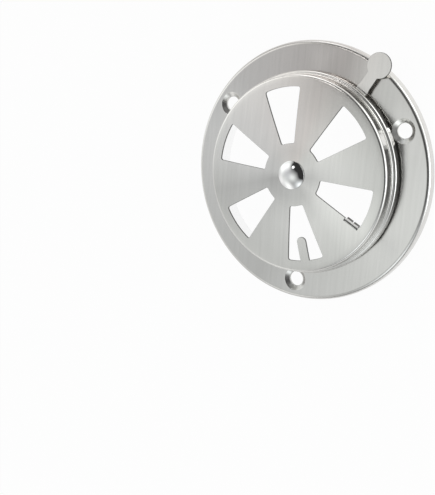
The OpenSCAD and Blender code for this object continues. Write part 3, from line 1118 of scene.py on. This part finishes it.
class DAMPER_OT_cap(bpy.types.Operator):
    """Makes the turning cap: domed face, windows, finger, stop tab, stepped wall and lever"""

    bl_idname = "damper.cap"
    bl_label = "Cap"

    def execute(self, context):
        cap = context.scene.damper_cap
        material = bpy.data.materials["cap_finish"]
        faces = cap_faces()
        sizes = (cap.window_in, cap.window_out, cap.window_half, cap.window_corner)
        pitch = FULL_TURN / cap.window_count
        lever = math.radians(TRAVEL)
        first = lever + cap.lever_lead
        plain = window_loop(*sizes)
        notched = window_loop(*sizes, right=notched_side(cap))
        fingered = window_loop(*sizes, outer=finger_arc(cap))
        parts = [
            round_the_axis(
                plate_sector("cap_sector", faces, plain), material, first + 3 * pitch,
                cap.window_count - 2, pitch,
            ),
            round_the_axis(
                plate_sector("cap_tab_sector", faces, notched), material, first + pitch
            ),
            round_the_axis(
                plate_sector("cap_finger_sector", faces, fingered), material, first + 2 * pitch
            ),
            round_the_axis(wall_and_lever(faces), material, lever),
        ]
        finishes = [material, bpy.data.materials["cut_steel_painted_dark"]]
        piece = closed_piece("cap_sheet", parts, finishes)
        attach(piece, "cap")
        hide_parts("cap_disc")
        side = first + pitch + cap.window_half
        tab = closed_piece(
            "stop_tab", [round_the_axis(stop_tab(faces[0]), material, side)], finishes
        )
        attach(tab, "cap")
        return {"FINISHED"}


class DAMPER_OT_rivet(bpy.types.Operator):
    """Makes the polished rivet with its domed head, shank and peened tail"""

    bl_idname = "damper.rivet"
    bl_label = "Rivet"

    def execute(self, context):
        sheet, rivet = context.scene.damper_sheet, context.scene.damper_rivet
        seat = cap_faces()[0].seat_z
        tail_z = base_faces()[1].seat_z - rivet.washer_t
        crown = rivet.head_h - rivet.head_edge
        radius = (rivet.head_r**2 + crown**2) / (2 * crown)
        edge = math.asin(rivet.head_r / radius)
        head = arc((0, seat + rivet.head_h - radius), radius, QUARTER, QUARTER - edge, 20)
        break_r = 0.12 * MM
        head = head[:-1] + [
            (rivet.head_r - break_r / 2, seat + rivet.head_edge + break_r / 2),
            (rivet.head_r, seat + rivet.head_edge - break_r / 2),
            (rivet.head_r, seat + break_r), (rivet.head_r - break_r, seat),
        ]
        low = rivet.tail_h / 2
        tail_radius = (rivet.tail_r**2 + low**2) / (2 * low)
        swing = math.asin(rivet.tail_r / tail_radius)
        tail = arc(
            (0, tail_z - rivet.tail_h + tail_radius), tail_radius, swing - QUARTER, -QUARTER, 12
        )
        shank = [(rivet.shank_r, seat), (rivet.shank_r, tail_z), (rivet.tail_r, tail_z)]
        section = head + shank + tail
        skin = Skin()
        skin.spin(section, [FULL_TURN * i / 96 for i in range(96)], closed=True)
        material = bpy.data.materials["rivet_finish"]
        piece = closed_piece("polished_rivet", [skin.mesh("rivet_skin")], [material])
        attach(piece, "housing")
        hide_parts("rivet")
        return {"FINISHED"}


class DAMPER_OT_studio(bpy.types.Operator):
    """Sets the floor, the sky with its soft lights, and the camera"""

    bl_idname = "damper.studio"
    bl_label = "Studio"

    def execute(self, context):
        studio = context.scene.damper_studio
        floor_skin = Skin()
        half = studio.floor_size / 2
        floor_skin.face(*floor_skin.row(
            [(-half, -half, 0), (half, -half, 0), (half, half, 0), (-half, half, 0)]
        ))
        floor = bpy.data.objects.new("floor", floor_skin.mesh("floor"))
        context.collection.objects.link(floor)
        floor.data.materials.append(floor_paint(studio))
        sky(context.scene, studio)
        eye = bpy.data.cameras.new("camera")
        eye.lens = studio.camera_lens
        eye.sensor_width = 36
        eye.clip_start, eye.clip_end = 0.01, 20
        camera = bpy.data.objects.new("camera", eye)
        camera.location = studio.camera_place
        camera.rotation_euler = studio.camera_turn
        context.collection.objects.link(camera)
        context.scene.camera = camera
        context.scene.view_settings.view_transform = "Standard"
        return {"FINISHED"}


# Soft lights of the studio: azimuth, tilt from overhead and half-width in degrees, colour
SMALL_LAMP = (327, 31, 3)
DARK = (
    (340, 36, 10),
    (12, 23, 9),
    (70, 24, 10),
    (108, 26, 8),
)
LIGHTS = (
    (303, 52, 15, (1.08, 1.10, 1.08)),
    (279, 71, 15, (1.13, 1.16, 1.14)),
    (218, 20, 15, (0.73, 0.76, 0.74)),
    (212, 66, 15, (1.12, 1.13, 1.12)),
    (88, 100, 22, (5.60, 5.80, 5.92)),
    (245, 82, 15, (0.80, 0.79, 0.79)),
    (157, 53, 15, (1.45, 1.52, 1.54)),
    (260, 38, 18, (0.27, 0.27, 0.29)),
    (240, 55, 15, (0.34, 0.36, 0.34)),
    (38, 82, 13, (3.00, 3.10, 3.10)),
    (340, 88, 15, (2.20, 2.30, 2.35)),
)


def heading(azimuth, tilt):
    """Unit vector towards an azimuth, tilted down from overhead, both in degrees."""
    a, b = math.radians(azimuth), math.radians(tilt)
    return Vector((math.sin(a) * math.sin(b), math.cos(a) * math.sin(b), math.cos(b)))


def floor_paint(studio):
    """Pale floor that the camera and the steel see as white, with the damper's soft shadow."""
    material = named_material("pale_floor")
    board = Board(material)
    ray = [board.node("ShaderNodeLightPath", output=name) for name in (
        "Is Camera Ray", "Is Glossy Ray", "Is Transmission Ray"
    )]
    seen = ray[0] + ray[1] + ray[2]
    plain = board.node("ShaderNodeBsdfDiffuse", inputs={"Color": (0.8, 0.8, 0.8, 1)})
    faint = 1 - studio.floor_white
    shaded = board.node("ShaderNodeBsdfDiffuse", inputs={"Color": (faint, faint, faint, 1)})
    glow = board.node("ShaderNodeEmission", inputs={"Strength": studio.floor_white})
    white = board.node("ShaderNodeAddShader", inputs=(shaded, glow))
    both = board.node("ShaderNodeMixShader", inputs=(seen, plain, white))
    board.node("ShaderNodeOutputMaterial", inputs={"Surface": both})
    return material


def lobe(board, way, azimuth, tilt, half_width):
    """One towards a place in the sky, a half at the half-width in degrees off it, then none."""
    facing = board.node(
        "ShaderNodeVectorMath", {"operation": "DOT_PRODUCT"}, (way, heading(azimuth, tilt)),
        output="Value",
    )
    power = math.log(0.5) / math.log(math.cos(math.radians(half_width)))
    return facing.math("POWER", facing.math("MAXIMUM", facing, 0.0), power)


def sky(scene, studio):
    """Studio of a dim room and large soft lights round the damper."""
    world = bpy.data.worlds.new("studio_sky")
    scene.world = world
    board = Board(world)
    way = board.node("ShaderNodeTexCoord", output="Generated")
    light = board.node("ShaderNodeBackground", inputs={"Strength": studio.room_light})
    for azimuth, tilt, half_width, colour in LIGHTS:
        lamp = board.node("ShaderNodeBackground", inputs={
            "Color": (*colour, 1), "Strength": lobe(board, way, azimuth, tilt, half_width),
        })
        light = board.node("ShaderNodeAddShader", inputs=(light, lamp))
    # The dark of the camera and its stand, which the rivet and the rounded edges mirror
    dark = board.node("ShaderNodeBackground", inputs={"Strength": 0.05})
    shade = 2.5 * sum(lobe(board, way, *cloth) for cloth in DARK)
    shade = shade.math("MINIMUM", shade, 1.0)
    light = board.node("ShaderNodeMixShader", inputs=(shade, light, dark))
    spot = board.node(
        "ShaderNodeBackground", inputs={"Strength": 9.0 * lobe(board, way, *SMALL_LAMP)}
    )
    light = board.node("ShaderNodeAddShader", inputs=(light, spot))
    board.node("ShaderNodeOutputWorld", inputs={"Surface": light})


class DAMPER_PT_panel(bpy.types.Panel):
    """Lists the sizes, the finishes and what can be made"""

    bl_idname = "DAMPER_PT_panel"
    bl_label = "Pinwheel damper"
    bl_space_type = "VIEW_3D"
    bl_region_type = "UI"
    bl_category = "Damper"

    def draw(self, context):
        for operator in OPERATORS:
            self.layout.operator(operator.bl_idname)
        for group in GROUPS:
            box = self.layout.box()
            box.label(text=group.__doc__)
            settings = getattr(context.scene, GROUPS[group])
            for name in group.__annotations__:
                box.prop(settings, name)


GROUPS = {
    DamperSheet: "damper_sheet",
    DamperBase: "damper_base",
    DamperCap: "damper_cap",
    DamperRivet: "damper_rivet",
    DamperFinish: "damper_finish",
    DamperStudio: "damper_studio",
}
OPERATORS = (
    DAMPER_OT_finishes, DAMPER_OT_base, DAMPER_OT_cap, DAMPER_OT_rivet, DAMPER_OT_studio
)


def register():
    """Registers the settings, the operators and the panel."""
    for group, name in GROUPS.items():
        bpy.utils.register_class(group)
        setattr(bpy.types.Scene, name, PointerProperty(type=group))
    for kind in (*OPERATORS, DAMPER_PT_panel):
        bpy.utils.register_class(kind)


def unregister():
    """Takes back what register did."""
    for kind in (DAMPER_PT_panel, *reversed(OPERATORS)):
        bpy.utils.unregister_class(kind)
    for group, name in reversed(GROUPS.items()):
        delattr(bpy.types.Scene, name)
        bpy.utils.unregister_class(group)


def main():
    """Makes the whole scene."""
    register()
    bpy.ops.damper.finishes()
    bpy.ops.damper.base()
    bpy.ops.damper.cap()
    bpy.ops.damper.rivet()
    bpy.ops.damper.studio()


if __name__ == "__main__":
    main()
